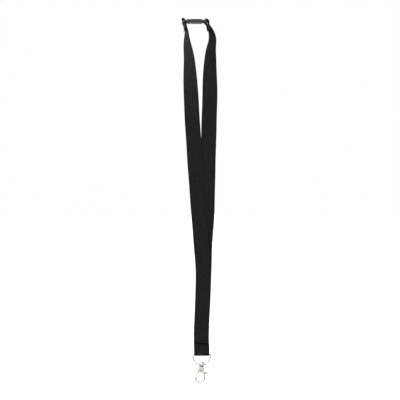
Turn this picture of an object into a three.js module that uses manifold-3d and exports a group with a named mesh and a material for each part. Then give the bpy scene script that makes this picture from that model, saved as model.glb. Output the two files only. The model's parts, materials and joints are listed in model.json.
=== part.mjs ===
// Neck lanyard: a doubled webbing strap, a breakaway buckle at the top, and at the bottom
// a D-ring with a swivel hook. Millimetres, +Z up, the strap's front faces -Y.
// The origin is the centre of the flat back face of the sewn joint above the D-ring.

import * as THREE from 'three';
import { mergeVertices } from 'three/addons/utils/BufferGeometryUtils.js';
import Module from 'manifold-3d';

const wasm = await Module();
wasm.setup();

// ---- driving dimensions ----

const GAP = 0.3; // free space between neighbouring pieces

// Webbing
const STRAP_WIDTH = 20;
const PLY = 1;
const PLY_PITCH = PLY + GAP;
const BACK_Y = -PLY / 2; // mid-planes of the three plies in the sewn joint
const MIDDLE_Y = BACK_Y - PLY_PITCH;
const FRONT_Y = MIDDLE_Y - PLY_PITCH;

// Sewn joint at the bottom
const CUT_EDGE_Z = 8.1; // upper edge of the folded-up front ply
const SEAM_Z = 4.4;
const FLAT_Z = 0; // the front ply lies flat above this height
const MIDDLE_END_Z = SEAM_Z + 0.8; // the middle ply stops here, clear of the thread

// D-ring, bent from round wire
const WIRE_R = 1;
const RING_R = 11.5;
const RING_BAR_Y = BACK_Y - PLY / 2 - GAP - WIRE_R;
const RING_BAR_Z = -6;
const RING_ARC_Z = -8.8;
const RING_CORNER_R = 1.5;
const RING_SPLIT = 0.5; // the wire's two ends meet in the middle of the bar
const FOLD_R = WIRE_R + GAP + PLY / 2;

// Breakaway buckle: its length along X, its width along Y, its thickness along Z
const BUCKLE_Y = -1.15;
const BUCKLE_Z = 437.4;
const BUCKLE_WIDTH = 25;
const BUCKLE_THICK = 4.8;
const RAIL_THICK = 2.8;
const RAIL_WIDTH = 2.2;
const BAR_HALF_LENGTH = 0.95; // the bars are oval, taller than they are long
const BAR_HALF_HEIGHT = 1.4;
const END_MARGIN = 1.5; // from a bar's centre to the frame's end
const LEFT_BAR_X = -23.3;
const RIGHT_BAR_X = 6.3;
const PLUG_FACE_X = -19.1;
const PARTING_X = -15.1;
const SOCKET_FACE_X = 0.3;
const PRONG_LENGTH = 9.6;
const PRONG_THICK = 2.4;
const PRONG_Y = 7.6;
const PRONG_WIDTH = 2.6;
const PRONG_CHAMFER = 0.6;
const BARB = 0.8;
const BARB_TIP = 1.6; // the barb's crest starts this far from the prong's tip
const BARB_CREST = 1.2;
const BARB_HEEL = 0.4;
const TONGUE_HALF = 3;
const CAVITY_HALF = 1.6;
const CAVITY_LENGTH = 11;
const CAVITY_WALL = 1.5;
const LIP_LENGTH = 2;

// Strap ends at the buckle: each goes over its bar, folds back and is sewn to itself
const FOLDED_HALF_PITCH = 0.7;
const CLOSE_TOP_Z = BUCKLE_Z - 0.9; // from here down the loop's two plies come together
const CLOSE_LENGTH = 4.2;
const RELAX_LENGTH = 30; // below the flap the single ply returns to the centre line
const SETTLE_LENGTH = 130; // each leg reaches its own layer over this height

const LEFT_LEG = {
  knots: [
    [-23.3, 446], [-23.3, 438], [-22.4, 432.8], [-20.4, 424.5], [-19.8, 417], [-18.7, 405],
    [-17.2, 394], [-15.9, 374], [-14.5, 346], [-11.6, 293], [-8.2, 240], [-2.2, 160], [1.9, 106],
    [1.8, 80], [-0.3, 26], [-0.4, 14], [0, 0], [0, -12],
  ],
  loopR: 2.2,
  archZ: 439.1,
  flapZ: 426,
  twistTopZ: 439.5,
  twistLength: 170,
  layerY: MIDDLE_Y,
};

const RIGHT_LEG = {
  knots: [
    [6.3, 446], [6.3, 437.4], [8.1, 432.8], [10.9, 427], [12.6, 423], [14.7, 415.5], [14.2, 409.5],
    [12.8, 404.3], [11.8, 396], [11.3, 385], [10.95, 372], [11.05, 346], [10.5, 320], [9, 266],
    [7.7, 213], [7.2, 186], [3.8, 133], [3.1, 106], [2.3, 80], [-0.4, 26], [-0.5, 14], [0, 0],
    [0, -12],
  ],
  loopR: 2.5,
  archZ: 437.9,
  flapZ: 426.6,
  twistTopZ: 442,
  twistLength: 156.5,
  layerY: BACK_Y,
};

// Sewing thread
const THREAD_R = 0.2;
const THREAD_HOLE_R = 0.5;
const STITCH_PITCH = 3;
const STITCH_HOLES = 6;
const SEAM_ABOVE_EDGE = 2.6;
const SEAM_PROUD = 0.4; // the top seams' threads stand this far off the plies

// Swivel hook, drawn upright around the wire it hangs on, then tilted
const HOOK_TILT = THREE.MathUtils.degToRad(6.5);
const HOOK_Z = RING_ARC_Z - RING_R;
const BAIL_TOP = 5.1;
const BAIL_SHOULDER = 2.9;
const BAIL_FLOOR = -1.25;
const BAIL_BASE = -1.95;
const BAIL_HALF_WIDTH = 4;
const BAIL_FLARE_Z = 1.2; // the waisted sides flare out to the shoulders about this height
const BAIL_DOME = 0.7; // how much the dome bulges at each shoulder
const BAIL_CROWN_HALF = 2;
const BAIL_NECK_HALF = 2.9;
const BAIL_HALF_DEPTH = 2.9;
const BAIL_EYE_HALF = 1.6;
const STUD_R = 1;
const STUD_HEAD_R = 1.6;
const STUD_HEAD_TOP = -4;
const STUD_END = -4.8;
const SHANK_TOP = -2.2;
const SHANK_BOTTOM = -10.2;
const SHANK_HALF_DEPTH = 2.4;
const SHANK_EDGE = 0.5;
const SHANK_FLAT_HALF = 2.4; // the flat top between the rounded shoulders
const SHOULDER_DROP = 1.6;
const THROAT_HALF = 0.4; // the arch over the bow starts here and ends on the spine
const SHOULDER_HALF = 3.9;
const HIP_HALF = 4.3;
const HIP_Z = -9.3;
const ROOF_Z = -3.7; // underside of the solid roof that carries the swivel
const SLOT_TOP = -5.3;
const SLOT_HALF = 1.15;
const SLOT_BOTTOM = -12.4;
const SPINE_X = 4.65;
const SPINE_HALF = 1.25;
const BOW_Z = -17.4;
const BOW_R = 5.8;
const BOW_HALF_WIDTH = 1.1;
const BOW_HALF_DEPTH = 1.4;
const NOSE_ANGLE = THREE.MathUtils.degToRad(160);

// Gate lever, its rivet and its spring
const PIVOT_X = -0.4;
const PIVOT_Z = -7.4;
const HUB_R = 1.7;
const LEVER_HALF = 0.8;
const TAB_HALF = 1.9;
const TAB_START = 5.6;
const TAB_END = 9.4;
const TAB_TOP = -8.4;
const TAB_BOTTOM = -11.4;
const GATE_REACH = 9.6; // the gate's tip and the nose are cut to arcs about the pivot
const RIVET_R = 0.8;
const RIVET_HOLE_R = 0.95;
const RIVET_HEAD_R = 1.3;
const RIVET_HEAD = 0.45;
const RIVET_FACE_GAP = 0.15;
const SPRING_X = 2.3;
const SPRING_TOP = -5.6;
const SPRING_BOTTOM = -8.05;
const SPRING_R = 0.6;
const SPRING_WIRE_R = 0.16;
const SPRING_TURNS = 3;

const ROUND = 20; // segments around a small round part
const CUT = 1; // how far a cutting solid runs past the surface it cuts

// ---- materials ----

function finish(color, roughness, metalness) {
  return new THREE.MeshStandardMaterial({ color, roughness, metalness });
}

const WEBBING = finish(0x242427, 0.9, 0);
const THREAD = finish(0x2e2e32, 0.8, 0);
const PLASTIC = finish(0x37363d, 0.45, 0);
const NICKEL = finish(0xd2cdc5, 0.22, 1);
const SPRING_STEEL = finish(0x9c9a96, 0.35, 1);

// ---- geometry helpers ----

function bareGeometry(geometry) {
  const bare = geometry.clone();
  bare.deleteAttribute('normal');
  bare.deleteAttribute('uv');
  return mergeVertices(bare, 1e-5);
}

function toSolid(geometry) {
  const bare = bareGeometry(geometry);
  return new wasm.Manifold(new wasm.Mesh({
    numProp: 3,
    vertProperties: new Float32Array(bare.attributes.position.array),
    triVerts: new Uint32Array(bare.index.array),
  }));
}

function toGeometry(solid) {
  const { vertProperties, triVerts } = solid.getMesh();
  const geometry = new THREE.BufferGeometry();
  geometry.setAttribute('position', new THREE.BufferAttribute(vertProperties, 3));
  geometry.setIndex(new THREE.BufferAttribute(triVerts, 1));
  geometry.computeVertexNormals();
  return geometry;
}

function joined(solids) {
  return solids.reduce((sum, solid) => sum.add(solid));
}

function shapeOf(points) {
  return new THREE.Shape(points.map(([a, b]) => new THREE.Vector2(a, b)));
}

// A block between two opposite corners.
function block(low, high) {
  const size = high.map((value, i) => value - low[i]);
  const middle = high.map((value, i) => (value + low[i]) / 2);
  return toSolid(new THREE.BoxGeometry(...size).translate(...middle));
}

// An outline drawn in X and Z, given a thickness along Y about the plane y = 0.
function plateXZ(shape, halfDepth, bevel = 0) {
  const geometry = new THREE.ExtrudeGeometry(shape, {
    depth: 2 * (halfDepth - bevel),
    bevelEnabled: bevel > 0,
    bevelThickness: bevel,
    bevelSize: bevel,
    bevelOffset: -bevel,
    bevelSegments: 3,
    curveSegments: ROUND / 2,
  });
  geometry.translate(0, 0, bevel - halfDepth).rotateX(Math.PI / 2);
  return toSolid(geometry);
}

// An outline drawn in X and Y, given a thickness along Z about the plane z = 0.
function plateXY(shape, halfHeight) {
  const geometry = new THREE.ExtrudeGeometry(shape, {
    depth: 2 * halfHeight,
    bevelEnabled: false,
    curveSegments: ROUND / 2,
  });
  return toSolid(geometry.translate(0, 0, -halfHeight));
}

// An outline drawn in Y and Z, given a thickness along X about the plane x = 0.
function plateYZ(shape, halfWidth) {
  const geometry = new THREE.ExtrudeGeometry(shape, {
    depth: 2 * halfWidth,
    bevelEnabled: false,
    curveSegments: ROUND / 2,
  });
  geometry.translate(0, 0, -halfWidth).rotateY(Math.PI / 2).rotateX(Math.PI / 2);
  return toSolid(geometry);
}

// An upright cylinder between two heights.
function post(radius, low, high, x = 0, y = 0) {
  const geometry = new THREE.CylinderGeometry(radius, radius, high - low, ROUND);
  return toSolid(geometry.rotateX(Math.PI / 2).translate(x, y, (low + high) / 2));
}

// A cylinder along Y, centred on the plane y = 0.
function axle(radius, halfLength, x, z) {
  const geometry = new THREE.CylinderGeometry(radius, radius, 2 * halfLength, ROUND);
  return toSolid(geometry.translate(x, 0, z));
}

// A round or oval bar that follows a curve.
function bar(curve, steps, radiusAcross, radiusInPlane, segments) {
  const section = new THREE.Shape();
  section.absellipse(0, 0, radiusAcross, radiusInPlane, 0, 2 * Math.PI, false, 0);
  return new THREE.ExtrudeGeometry(section, {
    steps,
    extrudePath: curve,
    bevelEnabled: false,
    curveSegments: segments,
  });
}

// A flat band lofted through stations, each with a centre and a unit vector across the band.
function band(stations) {
  const positions = [];
  stations.forEach(({ centre, across }, i) => {
    const before = stations[Math.max(i - 1, 0)].centre;
    const after = stations[Math.min(i + 1, stations.length - 1)].centre;
    const along = after.clone().sub(before);
    const normal = along.cross(across).normalize();
    for (const [side, face] of [[-1, -1], [1, -1], [1, 1], [-1, 1]]) {
      const corner = centre.clone();
      corner.addScaledVector(across, side * STRAP_WIDTH / 2);
      corner.addScaledVector(normal, face * PLY / 2);
      positions.push(...corner.toArray());
    }
  });
  const index = [0, 2, 1, 0, 3, 2];
  for (let i = 0; i + 1 < stations.length; i += 1) {
    for (let k = 0; k < 4; k += 1) {
      const a = 4 * i + k;
      const b = 4 * i + ((k + 1) % 4);
      index.push(a, b, b + 4, a, b + 4, a + 4);
    }
  }
  const last = 4 * (stations.length - 1);
  index.push(last, last + 1, last + 2, last, last + 2, last + 3);
  const geometry = new THREE.BufferGeometry();
  geometry.setAttribute('position', new THREE.Float32BufferAttribute(positions, 3));
  geometry.setIndex(index);
  return facingOut(geometry);
}

// Turns every triangle over if the closed surface faces inwards.
function facingOut(geometry) {
  const points = geometry.attributes.position;
  const index = geometry.index.array;
  const [a, b, c] = [new THREE.Vector3(), new THREE.Vector3(), new THREE.Vector3()];
  let volume = 0;
  for (let i = 0; i < index.length; i += 3) {
    a.fromBufferAttribute(points, index[i]);
    b.fromBufferAttribute(points, index[i + 1]);
    c.fromBufferAttribute(points, index[i + 2]);
    volume += a.dot(b.cross(c));
  }
  if (volume < 0) {
    for (let i = 0; i < index.length; i += 3) {
      [index[i + 1], index[i + 2]] = [index[i + 2], index[i + 1]];
    }
  }
  return geometry;
}

function heights(from, to, count) {
  return Array.from({ length: count + 1 }, (_, i) => THREE.MathUtils.lerp(from, to, i / count));
}

// ---- webbing ----

// The centre line of a leg at a height, read from a smooth curve through its knots.
function makeLine(leg) {
  const knots = leg.knots.map(([x, z]) => new THREE.Vector3(x, 0, z));
  const points = new THREE.CatmullRomCurve3(knots, false, 'centripetal').getPoints(400);
  return (z) => {
    const below = points.findIndex((point) => point.z <= z);
    const low = points[below];
    const high = points[below - 1];
    return THREE.MathUtils.mapLinear(z, high.z, low.z, high.x, low.x);
  };
}

// Where a leg is at a height: its centre, and unit vectors across it and out of its front.
// The band is edge-on at the buckle and turns a quarter turn on the way down.
function makeFrame(leg) {
  const lineX = makeLine(leg);
  return (z) => {
    const turned = THREE.MathUtils.clamp((leg.twistTopZ - z) / leg.twistLength, 0, 1);
    const turn = (Math.PI / 2) * Math.sin((Math.PI / 2) * turned);
    const settle = THREE.MathUtils.smoothstep(BUCKLE_Z - z, 0, SETTLE_LENGTH);
    const y = THREE.MathUtils.lerp(BUCKLE_Y, leg.layerY, settle);
    return {
      centre: new THREE.Vector3(lineX(z), y, z),
      across: new THREE.Vector3(Math.sin(turn), -Math.cos(turn), 0),
      front: new THREE.Vector3(-Math.cos(turn), -Math.sin(turn), 0),
    };
  };
}

function plyStation(frame, z, offset) {
  const { centre, across, front } = frame(z);
  return { centre: centre.addScaledVector(front, offset), across };
}

// Half the distance between the loop's two plies at a height.
function loopHalfPitch(leg, z) {
  const closing = THREE.MathUtils.smoothstep(CLOSE_TOP_Z - z, 0, CLOSE_LENGTH);
  return THREE.MathUtils.lerp(leg.loopR, FOLDED_HALF_PITCH, closing);
}

// From the cut end of the folded-back flap, up over the bar, and down to lowZ.
function legStations(leg, lowZ) {
  const frame = makeFrame(leg);
  const flap = heights(leg.flapZ, leg.archZ, 10)
    .map((z) => plyStation(frame, z, loopHalfPitch(leg, z)));
  const arch = heights(0, Math.PI, 10).slice(1, -1).map((angle) => {
    const station = plyStation(frame, leg.archZ, leg.loopR * Math.cos(angle));
    station.centre.z += leg.loopR * Math.sin(angle);
    return station;
  });
  const relaxedZ = leg.flapZ - RELAX_LENGTH;
  const main = [
    ...heights(leg.archZ, leg.flapZ, 10).slice(0, -1),
    ...heights(leg.flapZ, relaxedZ, 10).slice(0, -1),
    ...heights(relaxedZ, lowZ, 40),
  ].map((z) => {
    const relaxed = THREE.MathUtils.smoothstep(leg.flapZ - z, 0, RELAX_LENGTH);
    return plyStation(frame, z, -loopHalfPitch(leg, z) * (1 - relaxed));
  });
  return [...flap, ...arch, ...main];
}

// The right leg goes on under the ring's bar and folds up in front, ending at the cut edge.
function foldStations() {
  const across = new THREE.Vector3(1, 0, 0);
  const station = (y, z) => ({ centre: new THREE.Vector3(0, y, z), across });
  const under = heights(0, Math.PI, 12).map((angle) => station(
    RING_BAR_Y + FOLD_R * Math.cos(angle),
    RING_BAR_Z - FOLD_R * Math.sin(angle),
  ));
  const up = heights(RING_BAR_Z, CUT_EDGE_Z, 10).slice(1).map((z) => {
    const flat = THREE.MathUtils.smoothstep(z, RING_BAR_Z, FLAT_Z);
    return station(THREE.MathUtils.lerp(RING_BAR_Y - FOLD_R, FRONT_Y, flat), z);
  });
  return [...under, ...up];
}

// ---- sewing thread ----

function bottomSeam() {
  return {
    centre: new THREE.Vector3(0, MIDDLE_Y, SEAM_Z),
    across: new THREE.Vector3(1, 0, 0),
    front: new THREE.Vector3(0, -1, 0),
    reach: PLY_PITCH + PLY / 2 + GAP,
  };
}

function topSeam(leg) {
  const place = makeFrame(leg)(leg.flapZ + SEAM_ABOVE_EDGE);
  return { ...place, reach: FOLDED_HALF_PITCH + PLY / 2 + SEAM_PROUD };
}

function seamPoint(seam, along, out) {
  return seam.centre.clone()
    .addScaledVector(seam.across, along)
    .addScaledVector(seam.front, out);
}

function stitchHoles() {
  const half = ((STITCH_HOLES - 1) * STITCH_PITCH) / 2;
  return heights(-half, half, STITCH_HOLES - 1);
}

// One thread that runs in and out of the plies in a row across the band.
function threadGeometry(seam) {
  const bend = 0.35;
  const points = [];
  stitchHoles().forEach((along, i) => {
    const from = i % 2 ? 1 : -1;
    points.push(seamPoint(seam, along - bend, from * seam.reach));
    points.push(seamPoint(seam, along, from * (seam.reach - bend)));
    points.push(seamPoint(seam, along, -from * (seam.reach - bend)));
    points.push(seamPoint(seam, along + bend, -from * seam.reach));
  });
  const path = new THREE.CatmullRomCurve3(points, false, 'centripetal');
  return bar(path, 60, THREAD_R, THREAD_R, 3);
}

// The needle holes, a little wider than the thread.
function needleHoles(seam) {
  const out = seam.reach + CUT;
  return joined(stitchHoles().map((along) => {
    const path = new THREE.LineCurve3(seamPoint(seam, along, out), seamPoint(seam, along, -out));
    return toSolid(bar(path, 1, THREAD_HOLE_R, THREAD_HOLE_R, 4));
  }));
}

function leftStrap() {
  const solid = toSolid(band(legStations(LEFT_LEG, MIDDLE_END_Z)));
  return toGeometry(solid.subtract(needleHoles(topSeam(LEFT_LEG))));
}

function rightStrap() {
  const stations = [...legStations(RIGHT_LEG, FLAT_Z - 1), ...foldStations()];
  return toGeometry(toSolid(band(stations))
    .subtract(needleHoles(topSeam(RIGHT_LEG)))
    .subtract(needleHoles(bottomSeam())));
}

// ---- buckle, drawn around its own middle plane ----

// The side view of one half: a thick body that steps down to the rails at its frame end,
// whose nose is rounded off in two facets.
function buckleSide(bodyFrom, bodyTo, frameEnd) {
  const out = Math.sign(frameEnd - bodyTo);
  const chamfer = 0.6;
  const ramp = 0.8;
  const body = BUCKLE_THICK / 2;
  const rail = RAIL_THICK / 2;
  const noseShoulder = 0.85 * rail;
  const noseTip = 0.4 * rail;
  const half = [
    [bodyFrom, body - chamfer],
    [bodyFrom + out * chamfer, body],
    [bodyTo - out * ramp, body],
    [bodyTo, body - chamfer],
    [bodyTo + out * ramp, rail],
    [frameEnd - out * rail, rail],
    [frameEnd - out * (rail / 2), noseShoulder],
    [frameEnd, noseTip],
  ];
  const mirrored = half.map(([x, z]) => [x, -z]).reverse();
  return plateXZ(shapeOf([...half, ...mirrored]), BUCKLE_WIDTH / 2);
}

// The plan of one half, with its outer corners rounded.
function bucklePlan(from, to) {
  const radius = 2.2;
  const [low, high] = [Math.min(from, to), Math.max(from, to)];
  const half = BUCKLE_WIDTH / 2;
  const shape = new THREE.Shape();
  shape.moveTo(low + radius, -half);
  shape.lineTo(high - radius, -half);
  shape.absarc(high - radius, radius - half, radius, -Math.PI / 2, 0);
  shape.lineTo(high, half - radius);
  shape.absarc(high - radius, half - radius, radius, 0, Math.PI / 2);
  shape.lineTo(low + radius, half);
  shape.absarc(low + radius, half - radius, radius, Math.PI / 2, Math.PI);
  shape.lineTo(low, radius - half);
  shape.absarc(low + radius, radius - half, radius, Math.PI, 1.5 * Math.PI);
  return plateXY(shape, BUCKLE_THICK);
}

function ovalBar(halfLength, x) {
  const shape = new THREE.Shape();
  shape.absellipse(x, 0, BAR_HALF_LENGTH, BAR_HALF_HEIGHT, 0, 2 * Math.PI, false, 0);
  return plateXZ(shape, halfLength);
}

// The frame end is open between its rails, and an oval bar crosses it.
function framedHalf(bodyFrom, bodyTo, barX, planFrom) {
  const out = Math.sign(barX - bodyTo);
  const end = barX + out * END_MARGIN;
  const windowHalf = BUCKLE_WIDTH / 2 - RAIL_WIDTH;
  const edges = [bodyTo, end + out * CUT].sort((a, b) => a - b);
  const window = block(
    [edges[0], -windowHalf, -BUCKLE_THICK],
    [edges[1], windowHalf, BUCKLE_THICK],
  );
  return buckleSide(bodyFrom, bodyTo, end)
    .intersect(bucklePlan(planFrom, end))
    .subtract(window)
    .add(ovalBar(windowHalf + RAIL_WIDTH / 2, barX));
}

function socketSolid() {
  const mouth = PARTING_X + GAP;
  const lipHalf = PRONG_Y + PRONG_WIDTH / 2 + BARB + GAP;
  const cavityHalf = BUCKLE_WIDTH / 2 - CAVITY_WALL;
  const throat = block(
    [mouth - CUT, -lipHalf, -CAVITY_HALF],
    [mouth + LIP_LENGTH + CUT, lipHalf, CAVITY_HALF],
  );
  const cavity = block(
    [mouth + LIP_LENGTH, -cavityHalf, -CAVITY_HALF],
    [mouth + CAVITY_LENGTH, cavityHalf, CAVITY_HALF],
  );
  return framedHalf(mouth, SOCKET_FACE_X, RIGHT_BAR_X, mouth - BUCKLE_THICK)
    .subtract(throat)
    .subtract(cavity);
}

// One prong of the plug, with its barb on the outside.
function prong(side) {
  const root = PARTING_X - CUT;
  const tip = PARTING_X + PRONG_LENGTH;
  const inner = PRONG_Y - PRONG_WIDTH / 2;
  const outer = PRONG_Y + PRONG_WIDTH / 2;
  const crest = tip - BARB_TIP;
  const heel = crest - BARB_CREST;
  const outline = [
    [root, inner], [tip - PRONG_CHAMFER, inner], [tip, inner + PRONG_CHAMFER],
    [tip, outer - PRONG_CHAMFER], [crest, outer + BARB], [heel, outer + BARB],
    [heel - BARB_HEEL, outer], [root, outer],
  ];
  return plateXY(shapeOf(outline.map(([x, y]) => [x, side * y])), PRONG_THICK / 2);
}

function plugSolid() {
  const tongue = block(
    [PARTING_X - CUT, -TONGUE_HALF, -PRONG_THICK / 2],
    [PARTING_X + PRONG_LENGTH / 2, TONGUE_HALF, PRONG_THICK / 2],
  );
  return framedHalf(PARTING_X, PLUG_FACE_X, LEFT_BAR_X, PARTING_X + BUCKLE_THICK)
    .add(prong(1))
    .add(prong(-1))
    .add(tongue);
}

// ---- D-ring ----

function ringGeometry() {
  const point = (x, z) => new THREE.Vector3(x, RING_BAR_Y, z);
  const arcPoints = (x, z, radius, from, to, count) => heights(from, to, count)
    .map((angle) => point(x + radius * Math.cos(angle), z + radius * Math.sin(angle)));
  const cornerX = RING_R - RING_CORNER_R;
  const cornerZ = RING_BAR_Z - RING_CORNER_R;
  const right = [
    ...heights(RING_SPLIT / 2, cornerX, 4).slice(0, -1).map((x) => point(x, RING_BAR_Z)),
    ...arcPoints(cornerX, cornerZ, RING_CORNER_R, Math.PI / 2, 0, 4),
  ];
  const left = right.map((p) => point(-p.x, p.z)).reverse();
  const arc = arcPoints(0, RING_ARC_Z, RING_R, 0, -Math.PI, 24);
  const path = new THREE.CatmullRomCurve3([...right, ...arc, ...left], false, 'centripetal');
  return bar(path, 80, WIRE_R, WIRE_R, 7);
}

// ---- swivel hook, drawn around the centre of the wire it hangs on ----

// A mushroom-shaped loop over the wire, with the swivel stud under its base.
function bailSolid() {
  const shoulder = [BAIL_HALF_WIDTH, BAIL_SHOULDER];
  const bulge = [BAIL_HALF_WIDTH - 1, BAIL_SHOULDER + BAIL_DOME];
  const waist = BAIL_FLARE_Z / 2;
  const face = new THREE.Shape();
  face.moveTo(-BAIL_NECK_HALF, BAIL_BASE);
  face.lineTo(BAIL_NECK_HALF, BAIL_BASE);
  face.bezierCurveTo(BAIL_NECK_HALF, waist, BAIL_HALF_WIDTH, BAIL_FLARE_Z, ...shoulder);
  face.bezierCurveTo(...bulge, BAIL_CROWN_HALF, BAIL_TOP, 0, BAIL_TOP);
  face.bezierCurveTo(-BAIL_CROWN_HALF, BAIL_TOP, -bulge[0], bulge[1], -shoulder[0], shoulder[1]);
  face.bezierCurveTo(-shoulder[0], BAIL_FLARE_Z, -BAIL_NECK_HALF, waist, -BAIL_NECK_HALF, BAIL_BASE);

  const side = new THREE.Shape();
  const sideArchZ = BAIL_TOP - BAIL_HALF_DEPTH;
  side.moveTo(-BAIL_HALF_DEPTH, BAIL_BASE);
  side.lineTo(BAIL_HALF_DEPTH, BAIL_BASE);
  side.absarc(0, sideArchZ, BAIL_HALF_DEPTH, 0, Math.PI);

  const eye = new THREE.Shape();
  eye.moveTo(-BAIL_EYE_HALF, BAIL_FLOOR);
  eye.lineTo(BAIL_EYE_HALF, BAIL_FLOOR);
  eye.absarc(0, sideArchZ, BAIL_EYE_HALF, 0, Math.PI);

  return plateYZ(side, BAIL_HALF_WIDTH + CUT)
    .intersect(plateXZ(face, BAIL_HALF_DEPTH + CUT))
    .subtract(plateYZ(eye, BAIL_HALF_WIDTH + 2 * CUT))
    .add(post(STUD_R, STUD_HEAD_TOP - GAP, BAIL_BASE + GAP))
    .add(post(STUD_HEAD_R, STUD_END, STUD_HEAD_TOP));
}

// The hollow shank: shoulders at the top, hips below, and on the right a cheek that runs
// down into the spine of the bow.
function shankShape() {
  const shoulderZ = SHANK_TOP - SHOULDER_DROP;
  const spineZ = SLOT_BOTTOM - 0.8;
  const shape = new THREE.Shape();
  shape.moveTo(-SHANK_FLAT_HALF, SHANK_TOP);
  shape.lineTo(SHANK_FLAT_HALF, SHANK_TOP);
  shape.quadraticCurveTo(SHOULDER_HALF, SHANK_TOP, SHOULDER_HALF, shoulderZ);
  shape.lineTo(HIP_HALF, HIP_Z);
  shape.lineTo(SPINE_X + SPINE_HALF, spineZ);
  shape.lineTo(SPINE_X - SPINE_HALF, spineZ);
  shape.quadraticCurveTo(SPINE_X - 2, SHANK_BOTTOM, THROAT_HALF, SHANK_BOTTOM);
  shape.lineTo(THROAT_HALF - HIP_HALF, SHANK_BOTTOM);
  shape.lineTo(-HIP_HALF, HIP_Z);
  shape.lineTo(-SHOULDER_HALF, shoulderZ);
  shape.quadraticCurveTo(-SHOULDER_HALF, SHANK_TOP, -SHANK_FLAT_HALF, SHANK_TOP);
  return shape;
}

// The spine and the round bow, ending at the nose on the left.
function bowGeometry() {
  const spine = [[4, -10.6], [4.7, -12.6], [5.5, -15]];
  const arc = heights(0, -2 * Math.PI + NOSE_ANGLE, 20)
    .map((angle) => [BOW_R * Math.cos(angle), BOW_Z + BOW_R * Math.sin(angle)]);
  const points = [...spine, ...arc].map(([x, z]) => new THREE.Vector3(x, 0, z));
  const path = new THREE.CatmullRomCurve3(points, false, 'centripetal');
  return bar(path, 48, BOW_HALF_DEPTH, BOW_HALF_WIDTH, 7);
}

function hookSolid() {
  const slot = block([-TAB_END, -SLOT_HALF, SLOT_BOTTOM], [TAB_END, SLOT_HALF, SLOT_TOP]);
  const gateSweep = axle(GATE_REACH + GAP, SHANK_HALF_DEPTH, PIVOT_X, PIVOT_Z)
    .intersect(block([-TAB_END, -TAB_END, BOW_Z], [-HIP_HALF + 1, TAB_END, SLOT_BOTTOM]));
  return toSolid(bowGeometry())
    .subtract(gateSweep)
    .add(plateXZ(shankShape(), SHANK_HALF_DEPTH, SHANK_EDGE))
    .subtract(slot)
    .subtract(post(STUD_R + GAP, ROOF_Z - CUT, SHANK_TOP + CUT))
    .subtract(post(STUD_HEAD_R + GAP, SLOT_TOP - GAP, ROOF_Z))
    .subtract(axle(RIVET_HOLE_R, SHANK_HALF_DEPTH + CUT, PIVOT_X, PIVOT_Z));
}

// The gate arm, the hub and the thumb tab are one piece.
function leverSolid() {
  const arm = shapeOf([
    [PIVOT_X - 1.2, PIVOT_Z + 0.6], [-3.7, -9.4], [-4.6, -11.4], [-2.7, -11.4],
    [-2.1, -10.2], [0, PIVOT_Z - 1.4],
  ]);
  const gate = shapeOf([[-4.46, -11.1], [-6.9, -16.5], [-5, -16.5], [-2.52, -11.1]]);
  const neck = shapeOf([
    [PIVOT_X, PIVOT_Z], [1.2, TAB_TOP], [TAB_START + 1, TAB_TOP],
    [TAB_START + 1, TAB_BOTTOM], [3.7, TAB_BOTTOM], [PIVOT_X, PIVOT_Z - 1.4],
  ]);
  const tab = new THREE.Shape();
  const tabR = (TAB_TOP - TAB_BOTTOM) / 2;
  tab.moveTo(TAB_START, TAB_TOP);
  tab.lineTo(TAB_START, TAB_BOTTOM);
  tab.absarc(TAB_END - tabR, TAB_BOTTOM + tabR, tabR, -Math.PI / 2, Math.PI / 2);
  return plateXZ(gate, BOW_HALF_DEPTH, 0.3)
    .intersect(axle(GATE_REACH, SHANK_HALF_DEPTH, PIVOT_X, PIVOT_Z))
    .add(plateXZ(arm, LEVER_HALF))
    .add(plateXZ(neck, LEVER_HALF))
    .add(plateXZ(tab, TAB_HALF, 0.4))
    .add(axle(HUB_R, LEVER_HALF, PIVOT_X, PIVOT_Z))
    .subtract(axle(RIVET_HOLE_R, SHANK_HALF_DEPTH, PIVOT_X, PIVOT_Z));
}

// A shaft through both cheeks, with a low domed head at each end.
function rivetGeometry() {
  const face = SHANK_HALF_DEPTH + RIVET_FACE_GAP;
  const rim = face + 0.1;
  const top = face + RIVET_HEAD;
  const crown = 0.6 * RIVET_HEAD_R;
  const profile = [
    [0, -top], [crown, -top], [RIVET_HEAD_R, -rim], [RIVET_HEAD_R, -face], [RIVET_R, -face],
    [RIVET_R, face], [RIVET_HEAD_R, face], [RIVET_HEAD_R, rim], [crown, top], [0, top],
  ].map(([radius, y]) => new THREE.Vector2(radius, y));
  return new THREE.LatheGeometry(profile, ROUND).translate(PIVOT_X, 0, PIVOT_Z);
}

// A short coil between the slot's ceiling and the lever.
function springGeometry() {
  const low = SPRING_BOTTOM + SPRING_WIRE_R;
  const high = SPRING_TOP - SPRING_WIRE_R;
  const points = heights(0, 1, 12 * SPRING_TURNS).map((t) => {
    const angle = 2 * Math.PI * SPRING_TURNS * t;
    return new THREE.Vector3(
      SPRING_X + SPRING_R * Math.cos(angle),
      SPRING_R * Math.sin(angle),
      THREE.MathUtils.lerp(low, high, t),
    );
  });
  const path = new THREE.CatmullRomCurve3(points, false, 'centripetal');
  return bar(path, 20 * SPRING_TURNS, SPRING_WIRE_R, SPRING_WIRE_R, 3);
}

// ---- assembly ----

function piece(name, geometry, material) {
  const mesh = new THREE.Mesh(geometry, material);
  mesh.name = name;
  return mesh;
}

function buildBuckle() {
  const buckle = new THREE.Group();
  buckle.position.set(0, BUCKLE_Y, BUCKLE_Z);
  buckle.add(piece('buckle_socket', toGeometry(socketSolid()), PLASTIC));
  buckle.add(piece('buckle_plug', toGeometry(plugSolid()), PLASTIC));
  return buckle;
}

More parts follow.
